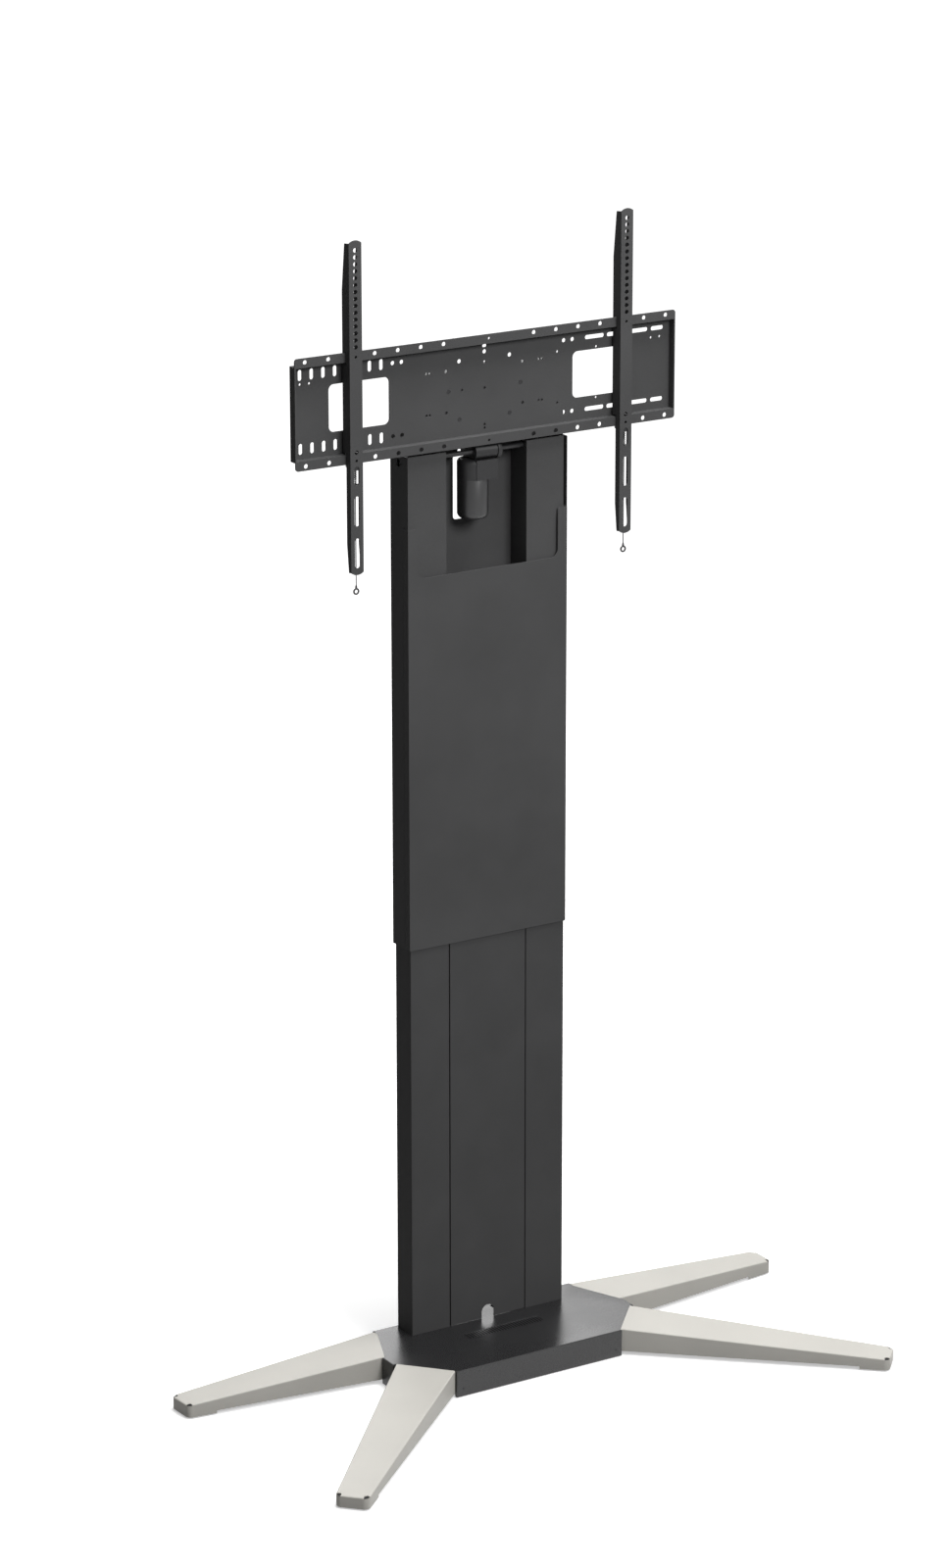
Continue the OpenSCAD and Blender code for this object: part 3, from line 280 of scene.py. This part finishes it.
# Folded sheet covers: a top with walls along some edges of its outline, joined by a rounded bend.
# From here to the bevels, sizes are in millimetres, with y = 0 at the front of the fixed column.
SHEET_T = 1.8
BEND_STEPS = 5
SHARP_ANGLE = math.radians(28)
PARALLEL = 0.0001

# The base, and the two edges of its right half that the front leg and the back leg meet
BASE_H = 57
BASE_GAP = 2
BASE_BEND = 2.2
BASE_HALF_W, BASE_FRONT_HALF_W, BASE_BACK_HALF_W = 281.5, 192.5, 232
BASE_FRONT, BASE_BACK = -196, 62
BASE_SIDE_FRONT, BASE_SIDE_BACK = -101, -60
BASE_REAR_CORNER = 58.8
FRONT_ROOT = [Vector((274.5, BASE_SIDE_FRONT)), Vector((193.5, -190))]
BACK_ROOT = [Vector((BASE_BACK_HALF_W, 43)), Vector((275.5, -58))]
BACK_EDGE = 58.5

# Holes in the base: vents, the posts and the cable way in its top, screws in front, an inlet behind
VENT_COUNT, VENT_PITCH, VENT_Y = 28, 6.3, -60
VENT_W, VENT_LEN = 2.4, 26
SLOT_END_STEPS = 6
POST_INNER, POST_OUTER, POST_FRONT, POST_BACK = 88.2, 176.55, -0.3, 57
CABLE_HOLE = (34, 78, 28, 48)
SCREW_X, SCREW_Z, SCREW_R = 178, 18, 2.2
SCREW_SIDES = 16
INLET_X, INLET_LOW, INLET_HIGH = 15, 21, 43

# The legs. The lower edge of a leg comes down near the tip, to cover the foot.
LEG_TIP_H = 27
LEG_TIP_W = 65
LEG_TIP_R = 12
LEG_BEND = 2.6
FRONT_LEG_LEN = 538
FRONT_LEG_ANGLE = math.radians(-44)
LEG_HALF_SPAN = 690
BACK_TIP_SKEW = 3
LEG_SKIRT_Z, FOOT_SKIRT_Z = 9, 3.5
FOOT_SKIRT_LEN = 60
STEP_SHIFT = 0.02
RELIEF_W = 5.6
ARC_STEPS = 12


def place(x, y, z):
    return Vector((x * MM, COLUMN_Y + y * MM, z * MM))


def drawn_in(points, by):
    """A counterclockwise outline with edge i, from point i to the next, moved inwards by by[i]."""
    moved = []
    for i, q in enumerate(points):
        a = (q - points[i - 1]).normalized()
        b = (points[(i + 1) % len(points)] - q).normalized()
        start = q + by[i - 1] * Vector((-a.y, a.x))
        turn = a.x * b.y - a.y * b.x
        if abs(turn) > PARALLEL:
            gap = q + by[i] * Vector((-b.y, b.x)) - start
            start = start + a * (gap.x * b.y - gap.y * b.x) / turn
        moved.append(start)
    return moved


def loop_edges(mesh, verts):
    edges = []
    for i, vert in enumerate(verts):
        pair = (verts[i - 1], vert)
        edges.append(mesh.edges.get(pair) or mesh.edges.new(pair))
    return edges


def folded_sheet(name, outline, walled, bottoms, height, bend, holes, wall_holes, reliefs,
                 finish, mirrored=False):
    """A cover of bent sheet that rides on the base.

    outline: points of the plan. walled: whether the edge from each point to the next has a wall.
    bottoms: height of the lower edge at each point. height: gives that of the top at a point.
    bend: radius. holes: loops of plan points, cut in the top. wall_holes: loops in space by the
    number of their edge. reliefs: first and last point of a stretch without a bend, and the loop
    the top follows there, so that an open slit is left. mirrored: x is reversed."""
    flip = -1 if mirrored else 1
    mesh = bmesh.new()

    def vert(x, y, z):
        return mesh.verts.new(place(flip * x, y, z))

    count = len(outline)
    rings = [[vert(p.x, p.y, z) for p, z in zip(outline, bottoms)]]
    for k in range(BEND_STEPS + 1):
        turn = math.pi / 2 * k / BEND_STEPS
        inset, drop = bend * (1 - math.cos(turn)), bend * (1 - math.sin(turn))
        moved = drawn_in(outline, [inset if wall else 0 for wall in walled])
        rings.append([vert(p.x, p.y, height(p) - drop) for p in moved])
    unbent = {i for start, end, loop in reliefs for i in range(start, end)}
    for i in range(count):
        if not walled[i]:
            continue
        j = (i + 1) % count
        for k in range(1 if i in unbent else len(rings) - 1):
            corners = [rings[k][i], rings[k][j], rings[k + 1][j], rings[k + 1][i]]
            if k == 0 and i in wall_holes:
                edges = loop_edges(mesh, corners)
                for hole in wall_holes[i]:
                    edges += loop_edges(mesh, [vert(*p) for p in hole])
                bmesh.ops.triangle_fill(mesh, use_beauty=True, use_dissolve=False, edges=edges)
            else:
                mesh.faces.new(corners)
    border = []
    skipped = {i for start, end, loop in reliefs for i in range(start + 1, end)}
    notches = {start: loop for start, end, loop in reliefs}
    for i in range(count):
        if i in skipped:
            continue
        border.append(rings[-1][i])
        if i in notches:
            border += [vert(p.x, p.y, height(p)) for p in notches[i]]
    edges = loop_edges(mesh, border)
    for hole in holes:
        edges += loop_edges(mesh, [vert(p.x, p.y, height(p)) for p in hole])
    top = bmesh.ops.triangle_fill(mesh, use_beauty=True, use_dissolve=False, edges=edges)["geom"]
    bmesh.ops.delete(mesh, geom=[v for v in mesh.verts if not v.link_faces], context="VERTS")
    bmesh.ops.recalc_face_normals(mesh, faces=mesh.faces)
    first = next(f for f in top if isinstance(f, bmesh.types.BMFace))
    if first.normal.z < 0:
        bmesh.ops.reverse_faces(mesh, faces=mesh.faces)
    data = bpy.data.meshes.new(name)
    mesh.to_mesh(data)
    mesh.free()
    data.materials.append(finish)
    data.shade_smooth()
    data.set_sharp_from_angle(angle=SHARP_ANGLE)
    piece = bpy.data.objects.new(name, data)
    bpy.context.scene.collection.objects.link(piece)
    thick = piece.modifiers.new("sheet", "SOLIDIFY")
    thick.thickness = SHEET_T * MM
    thick.offset = -1
    flat = piece.modifiers.new("flat_normals", "WEIGHTED_NORMAL")
    flat.mode = "FACE_AREA"
    flat.keep_sharp = True
    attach(piece, "base")
    return piece


def slot_loop(x, y, width, length):
    """A slot along y with round ends."""
    r = width / 2
    straight = length / 2 - r
    loop = []
    for end, start in ((1, 0), (-1, math.pi)):
        for k in range(SLOT_END_STEPS + 1):
            turn = math.pi * k / SLOT_END_STEPS + start
            loop.append(Vector((x + r * math.cos(turn), y + end * straight + r * math.sin(turn))))
    return loop


def rectangle(x0, x1, y0, y1):
    return [Vector((x0, y0)), Vector((x1, y0)), Vector((x1, y1)), Vector((x0, y1))]


def screw_loop(x):
    """A round hole in the front wall of the base."""
    loop = []
    for k in range(SCREW_SIDES):
        turn = 2 * math.pi * k / SCREW_SIDES
        loop.append((x + SCREW_R * math.cos(turn), BASE_FRONT, SCREW_Z + SCREW_R * math.sin(turn)))
    return loop


def make_base_cover(materials):
    half = [Vector((BASE_FRONT_HALF_W, BASE_FRONT)), FRONT_ROOT[1], FRONT_ROOT[0],
            Vector((BASE_HALF_W, BASE_SIDE_FRONT)), Vector((BASE_HALF_W, BASE_SIDE_BACK)),
            BACK_ROOT[1], BACK_ROOT[0], Vector((BASE_BACK_HALF_W, BASE_REAR_CORNER)),
            Vector((BASE_BACK_HALF_W, BASE_BACK))]
    half_walls = [True, False, True, True, True, False, False, True]
    outline = half + [Vector((-p.x, p.y)) for p in reversed(half)]
    walled = half_walls + [True] + half_walls[::-1] + [True]
    back, front = len(half_walls), len(walled) - 1
    holes = [slot_loop((i - (VENT_COUNT - 1) / 2) * VENT_PITCH, VENT_Y, VENT_W, VENT_LEN)
             for i in range(VENT_COUNT)]
    holes += [rectangle(POST_INNER, POST_OUTER, POST_FRONT, POST_BACK),
              rectangle(-POST_OUTER, -POST_INNER, POST_FRONT, POST_BACK),
              rectangle(*CABLE_HOLE)]
    inlet = [(-INLET_X, BASE_BACK, INLET_LOW), (INLET_X, BASE_BACK, INLET_LOW),
             (INLET_X, BASE_BACK, INLET_HIGH), (-INLET_X, BASE_BACK, INLET_HIGH)]
    wall_holes = {front: [screw_loop(-SCREW_X), screw_loop(SCREW_X)], back: [inlet]}
    piece = folded_sheet("base_shell", outline, walled, [BASE_GAP] * len(outline),
                         lambda p: BASE_H, BASE_BEND, holes, wall_holes, [],
                         materials["base_coat"])
    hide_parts("base_cover")


def leg_outline(front):
    """The plan of a right leg: its points, walls, lower heights and corner reliefs, and the
    height of its top."""
    if front:
        mid = (FRONT_ROOT[0] + FRONT_ROOT[1]) / 2
        along = Vector((math.cos(FRONT_LEG_ANGLE), math.sin(FRONT_LEG_ANGLE)))
        out = Vector((-along.y, along.x))
        tip = mid + FRONT_LEG_LEN * along
        slope_len = FRONT_LEG_LEN
        corners = [tip - LEG_TIP_W / 2 * out, tip + LEG_TIP_W / 2 * out]
        root, rest = FRONT_ROOT[1], [FRONT_ROOT[0]]
    else:
        mid = (BACK_ROOT[0] + BACK_ROOT[1]) / 2
        root_line = (BACK_ROOT[0] - BACK_ROOT[1]).normalized()
        along = Vector((root_line.y, -root_line.x))
        slope_len = LEG_HALF_SPAN - mid.x
        corners = [Vector((LEG_HALF_SPAN - BACK_TIP_SKEW, BACK_EDGE - LEG_TIP_W)),
                   Vector((LEG_HALF_SPAN, BACK_EDGE))]
        root, rest = BACK_ROOT[1], [Vector((BASE_BACK_HALF_W, BACK_EDGE)), BACK_ROOT[0]]
    points, walled, bottoms, reliefs = [], [], [], []
    fall = (BASE_H - LEG_TIP_H) / slope_len

    def add(point, wall, bottom):
        points.append(point)
        walled.append(wall)
        bottoms.append(bottom)

    def step(near, far, towards_tip):
        """Two points on a flank, close together, between which the lower edge steps."""
        way = (far - near).normalized()
        at = near + way * FOOT_SKIRT_LEN
        pair = [(STEP_SHIFT, LEG_SKIRT_Z), (0, FOOT_SKIRT_Z)]
        for shift, z in pair if towards_tip else reversed(pair):
            add(at + way * shift, True, z)

    add(root, True, LEG_SKIRT_Z)
    chain = [root] + corners + [rest[0]]
    step(corners[0], root, True)
    for i in (1, 2):
        before = (chain[i] - chain[i - 1]).normalized()
        after = (chain[i + 1] - chain[i]).normalized()
        start = math.atan2(-before.x, before.y)
        turn = math.atan2(before.x * after.y - before.y * after.x, before.dot(after))
        centre = drawn_in(chain, [LEG_TIP_R] * len(chain))[i]
        arc = []
        for k in range(ARC_STEPS + 1):
            at = start + turn * k / ARC_STEPS
            arc.append(Vector((math.cos(at), math.sin(at))))
        first = len(points)
        for way in arc:
            add(centre + LEG_TIP_R * way, True, FOOT_SKIRT_Z)
        inner = LEG_TIP_R - LEG_BEND - RELIEF_W
        loop = [centre + inner * way for way in arc[1:-1]]
        reliefs.append((first + 1, first + ARC_STEPS - 1, loop))
    step(corners[1], rest[0], False)
    for p in rest:
        add(p, False, LEG_SKIRT_Z)
    return points, walled, bottoms, reliefs, lambda p: BASE_H - fall * (p - mid).dot(along)


def make_leg_covers(materials):
    for end in ("front", "back"):
        points, walled, bottoms, reliefs, height = leg_outline(end == "front")
        for side in SIDES:
            piece = folded_sheet("leg_shell_%s_%s" % (end, side), points, walled, bottoms, height,
                                 LEG_BEND, [], {}, reliefs, materials["champagne_coat"],
                                 side == "left")
            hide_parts("leg_cover_%s_%s" % (end, side))


# The CAD nodes: softened edges, in millimetres by the start of the name, and the finish of the slot
BEVELS = {
    "lower_post": 1.5, "lower_front_panel": 0.5, "outer_shell": 0.7, "front_cover": 0.5,
    "post_cover": 0.6, "interface_plate": 0.4, "strip": 0.5, "motor": 0.6,
    "gearbox_housing": 1.0, "levelling_foot": 0.5, "pull_ring": 0.0,
}
DEFAULT_BEVEL = 0.3
BEVEL_SEGMENTS = 2
BEVEL_ANGLE = math.radians(40)
WELD_DISTANCE = 0.00001


def edge_width(node):
    for start, width in BEVELS.items():
        if node.startswith(start):
            return width * MM
    return DEFAULT_BEVEL * MM


def dress_nodes(materials):
    slots = {part["node"]: part["material_slot"] for part in frame["record"]["subparts"]}
    for name, node in frame["nodes"].items():
        node.data.materials.clear()
        node.data.materials.append(materials[slots[name]])
        weld = node.modifiers.new("weld", "WELD")
        weld.merge_threshold = WELD_DISTANCE
        width = edge_width(name)
        if width > 0:
            bevel = node.modifiers.new("edges", "BEVEL")
            bevel.width = width
            bevel.segments = BEVEL_SEGMENTS
            bevel.limit_method = "ANGLE"
            bevel.angle_limit = BEVEL_ANGLE
            bevel.use_clamp_overlap = True
            bevel.harden_normals = True


# Studio: the camera and mirrored rays see a white floor and sky, and the light that falls on the
# object comes from the lamps, a darker sky and a darker floor.
LIGHTS = [  # name, place, target, width and depth, watts
    ("key", (0.5, -4.4, 4.4), (0, 0, 1.2), (2.0, 2.0), 180),
    ("top", (0.5, -0.3, 5.2), (0, 0, 0), (1.8, 1.8), 190),
    ("back", (2.2, 4.6, 3.2), (0, 0, 1.2), (2.0, 2.0), 50),
]
SKY_LEVEL, SKY_SLOPE = 0.16, 0.09
FLOOR_HALF = 30
FLOOR_DARK, FLOOR_LIGHT, FLOOR_GRAIN = 0.22, 0.24, 40
FLOOR_ROUGHNESS = 0.95
FLOOR_WHITE = 0.93
FLOOR_GLOW = (1.0, 4.0, 0.5, 0.97)  # near and far distance, then the glow at each


def area_light(name, at, to, size, power):
    data = bpy.data.lights.new(name, "AREA")
    data.shape = "RECTANGLE"
    data.size, data.size_y = size
    data.energy = power
    light = bpy.data.objects.new(name, data)
    bpy.context.scene.collection.objects.link(light)
    light.location = at
    light.rotation_euler = (Vector(at) - Vector(to)).to_track_quat("Z", "Y").to_euler()


def seen_or_mirrored(nodes, links):
    """1 for camera, glossy and transmission rays, 0 for the rays that light the object."""
    path = nodes.new("ShaderNodeLightPath")
    total = path.outputs["Is Camera Ray"]
    for name in ("Is Glossy Ray", "Is Transmission Ray"):
        both = nodes.new("ShaderNodeMath")
        both.operation = "MAXIMUM"
        links.new(total, both.inputs[0])
        links.new(path.outputs[name], both.inputs[1])
        total = both.outputs[0]
    return total


def make_floor():
    mesh = bpy.data.meshes.new("floor")
    h = FLOOR_HALF
    mesh.from_pydata([(-h, -h, 0), (h, -h, 0), (h, h, 0), (-h, h, 0)], [], [(0, 1, 2, 3)])
    material, nodes, links, shader = new_material("floor_paper")
    place_out = nodes.new("ShaderNodeTexCoord").outputs["Object"]
    grain = noise(nodes, links, place_out, FLOOR_GRAIN)
    links.new(ramp(nodes, links, grain, [FLOOR_DARK] * 3, [FLOOR_LIGHT] * 3),
              shader.inputs["Base Color"])
    shader.inputs["Roughness"].default_value = FLOOR_ROUGHNESS
    shader.inputs["Specular IOR Level"].default_value = 0
    white = nodes.new("ShaderNodeBsdfDiffuse")
    white.inputs["Color"].default_value = (FLOOR_WHITE, FLOOR_WHITE, FLOOR_WHITE, 1)
    away = nodes.new("ShaderNodeVectorMath")
    away.operation = "LENGTH"
    links.new(place_out, away.inputs[0])
    level = nodes.new("ShaderNodeMapRange")
    links.new(away.outputs["Value"], level.inputs["Value"])
    for socket, value in zip(("From Min", "From Max", "To Min", "To Max"), FLOOR_GLOW):
        level.inputs[socket].default_value = value
    glow = nodes.new("ShaderNodeEmission")
    links.new(level.outputs[0], glow.inputs["Strength"])
    bright = nodes.new("ShaderNodeAddShader")
    links.new(white.outputs[0], bright.inputs[0])
    links.new(glow.outputs[0], bright.inputs[1])
    mixed = nodes.new("ShaderNodeMixShader")
    links.new(seen_or_mirrored(nodes, links), mixed.inputs[0])
    links.new(shader.outputs[0], mixed.inputs[1])
    links.new(bright.outputs[0], mixed.inputs[2])
    links.new(mixed.outputs[0], nodes["Material Output"].inputs["Surface"])
    mesh.materials.append(material)
    floor = bpy.data.objects.new("floor", mesh)
    bpy.context.scene.collection.objects.link(floor)


def make_studio():
    make_floor()
    world = bpy.data.worlds.new("studio")
    bpy.context.scene.world = world
    world.use_nodes = True
    nodes, links = world.node_tree.nodes, world.node_tree.links
    place_out = nodes.new("ShaderNodeTexCoord").outputs["Generated"]
    axes = nodes.new("ShaderNodeSeparateXYZ")
    links.new(place_out, axes.inputs[0])
    slope = nodes.new("ShaderNodeMath")
    slope.operation = "MULTIPLY_ADD"
    slope.inputs[1].default_value = SKY_SLOPE
    slope.inputs[2].default_value = SKY_LEVEL
    links.new(axes.outputs["X"], slope.inputs[0])
    level = nodes.new("ShaderNodeMapRange")
    links.new(slope.outputs[0], level.inputs["To Min"])
    level.inputs["To Max"].default_value = 1
    links.new(seen_or_mirrored(nodes, links), level.inputs["Value"])
    links.new(level.outputs[0], nodes["Background"].inputs["Strength"])
    nodes["Background"].inputs["Color"].default_value = (1, 1, 1, 1)
    for light in LIGHTS:
        area_light(*light)
    bpy.context.scene.view_settings.view_transform = "Standard"


make_camera()
finishes = make_materials()
for name_of_side in SIDES:
    make_cord(name_of_side, finishes)
for name_of_side in SIDES:
    make_spring(name_of_side, finishes)
make_base_cover(finishes)
make_leg_covers(finishes)
dress_nodes(finishes)
make_studio()
